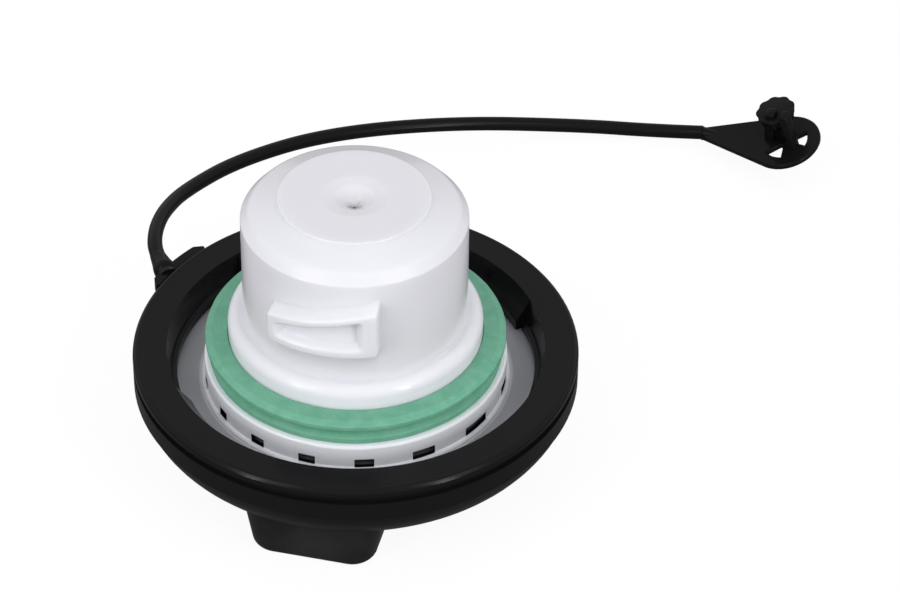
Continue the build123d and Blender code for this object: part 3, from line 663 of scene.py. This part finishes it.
def tab_plate():
    """Flat drop-shaped plate with windows round its hub, drawn inside the rounding of its edges."""
    radius, neck = TAB_RADIUS - TAB_EDGE, TAB_NECK - TAB_EDGE
    reach = 180.0 - degrees(acos((radius - neck) / TAB_LENGTH))
    loops = [[(-TAB_LENGTH, -neck), *arc(radius, -reach, reach, count=64), (-TAB_LENGTH, neck)]]
    outer, inner = WINDOW_OUTER + TAB_EDGE, WINDOW_INNER - TAB_EDGE
    half = WINDOW_SWEEP / 2 + degrees(TAB_EDGE / outer)
    tip = half - WINDOW_NARROWING
    for angle in WINDOW_ANGLES:
        outer_end = arc(outer, angle - tip, angle + tip, count=8)
        loops.append(outer_end + arc(inner, angle + half, angle - half, count=5))
    flat = bpy.data.curves.new("tab_plate", "CURVE")
    flat.dimensions = "2D"
    flat.fill_mode = "BOTH"
    for loop in loops:
        spline = flat.splines.new("POLY")
        spline.points.add(len(loop) - 1)
        for point, (x, y) in zip(spline.points, loop):
            point.co = (x, y, 0.0, 1.0)
        spline.use_cyclic_u = True
    flat.extrude = TAB_THICKNESS / 2 - TAB_EDGE
    flat.bevel_depth = TAB_EDGE
    flat.bevel_resolution = 3
    plate = meshed("tab_plate", flat)
    plate.data.transform(Matrix.Translation((0.0, 0.0, -TAB_THICKNESS / 2)))
    return settled(plate)


def neck_stub():
    """Round end of the strap, faired into the plate."""
    stub = primitive(
        bpy.ops.mesh.primitive_cone_add,
        vertices=32,
        radius1=NECK_RADII[0],
        radius2=NECK_RADII[1],
        depth=NECK_LENGTH,
        location=(NECK_PLACE - TAB_LENGTH, 0.0, -TAB_THICKNESS / 2),
        rotation=(0.0, pi / 2, 0.0),
    )
    return settled(softened(stub, width=0.25))


def anchor_crown():
    """Scalloped head of the anchor."""
    cylinder = bpy.ops.mesh.primitive_cylinder_add
    crown = primitive(cylinder, vertices=CROWN_SIDES, radius=1.0, depth=1.0)
    for vertex in crown.data.vertices:
        turn = vertex.co.xy.angle_signed(Vector((1.0, 0.0)))
        high = vertex.co.z > 0
        notch = CROWN_NOTCH * abs(sin(CROWN_LOBES * turn / 2)) ** 3
        reach = CROWN_RADIUS * (1.0 - notch) * (1.0 if high else CROWN_TAPER)
        vertex.co.x = vertex.co.x * reach + CROWN_MIDDLE[0]
        vertex.co.y = vertex.co.y * reach + CROWN_MIDDLE[1]
        vertex.co.z = CROWN_TOP if high else CROWN_TOP - CROWN_HEIGHT
    return settled(softened(crown, width=0.3))


def anchor_leg(foot, head, size, height):
    """Prong or post that leans from the middle of its foot to that of its head."""
    leg = primitive(bpy.ops.mesh.primitive_cube_add, size=1.0)
    for vertex in leg.data.vertices:
        high = vertex.co.z > 0
        middle = head if high else foot
        vertex.co.x = middle[0] + vertex.co.x * size[0]
        vertex.co.y = middle[1] + vertex.co.y * size[1]
        vertex.co.z = height if high else -LEG_SINK
    return settled(softened(leg, width=0.45))


def tether_end():
    """The tab with its anchor, as one piece."""
    legs = [anchor_leg(*leg) for leg in ANCHOR_LEGS]
    parts = [tab_plate(), neck_stub(), anchor_crown(), *legs]
    end = parts[0]
    show_only(end)
    for part in parts:
        part.select_set(True)
    bpy.ops.object.join()
    end.name = "tab"
    return dress(end, tether_black, "tether", CRISP_ANGLE, ["tether_tab"])


tab = tether_end()


# ---------------------------------------------------------------- strap
STRAP_DIAMETER = 3.1 * MM
# Route of the strap from the lug on its ring to the tab, in metres.
STRAP_POINTS = [
    (-0.0450, 0.0169, 0.0230),
    (-0.0475, 0.0205, 0.0230),
    (-0.0494, 0.0250, 0.0227),
    (-0.0507, 0.0310, 0.0219),
    (-0.0511, 0.0380, 0.0208),
    (-0.0501, 0.0484, 0.0183),
    (-0.0436, 0.0663, 0.0146),
    (-0.0293, 0.0866, 0.0098),
    (-0.0049, 0.1035, 0.0053),
    (0.0224, 0.1132, 0.0025),
    (0.0391, 0.1160, 0.0020),
    (0.0498, 0.1162, 0.0033),
]
# Fairing that joins the strap to its lug: x and y in mm, and its thickness over the strap's.
ROOT_POINTS = (
    (-42.9, 13.9, 0.5),
    (-43.5, 14.8, 1.3),
    (-44.3, 15.9, 1.6),
    (-45.5, 17.6, 1.25),
    (-47.2, 20.1, 1.02),
)
ROOT_HEIGHT = 23.0


def strap_root():
    """Fairing from the lug to the strap."""
    places = [(x * MM, y * MM, ROOT_HEIGHT * MM) for x, y, _ in ROOT_POINTS]
    line = round_line("strap_root", places, STRAP_DIAMETER, roundness=6, smooth=8)
    for point, (_, _, swell) in zip(line.splines[0].points, ROOT_POINTS):
        point.radius = swell
    dress(meshed("strap_root", line), tether_black, "tether", RUBBER_ANGLE)


def tether_cord():
    """Round strap on one smooth spline."""
    line = round_line("strap", STRAP_POINTS, STRAP_DIAMETER, roundness=8, smooth=16)
    line.materials.append(tether_black)
    cord = linked("strap", line)
    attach(cord, "tether")
    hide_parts("tether_strap")
    return cord


strap_root()
strap = tether_cord()


# ---------------------------------------------------------------- stage, lights and camera
WHITE = (1.0, 1.0, 1.0, 1.0)
FLOOR_GREY = (0.10, 0.10, 0.10)
FLOOR_GLOW = 0.92   # strength at which the camera sees the floor
FLOOR_LIGHT = 0.12  # strength at which the floor lights the cap
AMBIENT = 0.63
GLOSS_SHARE = 0.0   # of the white that shiny surfaces mirror: with any, the black looks grey

FRAME_WIDTH, FRAME_HEIGHT = 900, 600
FOCAL_PIXELS = 3500.0
SENSOR_WIDTH = 36.0
VIEW_DISTANCE = 0.6905
VIEW_ELEVATION = radians(38.9)
VIEW_HEADING = radians(13.0)
VIEW_ROLL = radians(0.68)
AIM_HEIGHT = 0.0255
AIM_PIXEL = (355.9, 342.5)

LAMP_AIM = Vector((0.0, 0.0, 0.03))
# Heading to the right of the view, elevation, distance, size and power of each lamp.
LAMPS = {
    "left_box": (-46, 38, 0.95, (0.45, 0.6), 1.9),
    "right_box": (48, 38, 0.95, (0.45, 0.6), 1.9),
    "left_strip": (-46, 13, 0.8, (0.10, 0.42), 1.35),
    "right_strip": (42, 13, 0.8, (0.10, 0.42), 1.45),
}


def seen_rays(shader):
    """1 for rays that carry a view, and the gloss share for those that glance off a surface."""
    camera, gloss, through = (
        shader.node("ShaderNodeLightPath", output=ray)
        for ray in ("Is Camera Ray", "Is Glossy Ray", "Is Transmission Ray")
    )
    return camera + GLOSS_SHARE * gloss + through


def pale_floor():
    """Floor that looks white to the camera, and throws little light back at the cap."""
    floor = primitive(bpy.ops.mesh.primitive_plane_add, size=6.0)
    floor.name = "floor"
    shader = finish("floor_white", FLOOR_GREY, 0.9, Specular_IOR_Level=0.0, Emission_Color=WHITE)
    glow = FLOOR_LIGHT + (FLOOR_GLOW - FLOOR_LIGHT) * seen_rays(shader)
    shader.feed("Emission Strength", glow)
    floor.data.materials.append(shader.owner)


def white_world():
    """Even light at a modest level, seen as white."""
    world = bpy.data.worlds.new("studio")
    bpy.context.scene.world = world
    shader = Shader(world, "Background", Color=WHITE)
    shader.feed("Strength", AMBIENT + (1.0 - AMBIENT) * seen_rays(shader))


def soft_box(name, heading, elevation, distance, size, power):
    """Lamp that faces the cap."""
    turn = radians(heading) + VIEW_HEADING - pi / 2
    level = distance * cos(radians(elevation))
    rise = distance * sin(radians(elevation))
    place = LAMP_AIM + Vector((level * cos(turn), level * sin(turn), rise))
    light = bpy.data.lights.new(name, "AREA")
    light.shape = "RECTANGLE"
    light.size, light.size_y = size
    light.energy = power
    lamp = linked(name, light)
    lamp.location = place
    lamp.rotation_euler = (LAMP_AIM - place).to_track_quat("-Z", "Y").to_euler()


def view_camera():
    """Camera that puts the centre of the rim's top at its pixel."""
    forward = Vector((0.0, cos(VIEW_ELEVATION), -sin(VIEW_ELEVATION)))
    level_right = Vector((1.0, 0.0, 0.0))
    level_up = level_right.cross(forward)
    right = cos(VIEW_ROLL) * level_right + sin(VIEW_ROLL) * level_up
    up = cos(VIEW_ROLL) * level_up - sin(VIEW_ROLL) * level_right
    across = (AIM_PIXEL[0] - FRAME_WIDTH / 2) / FOCAL_PIXELS * VIEW_DISTANCE
    down = (AIM_PIXEL[1] - FRAME_HEIGHT / 2) / FOCAL_PIXELS * VIEW_DISTANCE
    turn = Matrix.Rotation(VIEW_HEADING, 3, "Z")
    axes = turn @ Matrix((right, up, -forward)).transposed()
    place = turn @ (up * down - right * across - forward * VIEW_DISTANCE)
    place.z += AIM_HEIGHT
    data = bpy.data.cameras.new("camera")
    data.sensor_width = SENSOR_WIDTH
    data.lens = SENSOR_WIDTH * FOCAL_PIXELS / FRAME_WIDTH
    data.clip_start, data.clip_end = 0.01, 20.0
    camera = linked("camera", data)
    camera.matrix_world = Matrix.Translation(place) @ axes.to_4x4()
    bpy.context.scene.camera = camera


pale_floor()
white_world()
for name, lamp in LAMPS.items():
    soft_box(name, *lamp)
view_camera()
bpy.context.scene.view_settings.view_transform = "Standard"
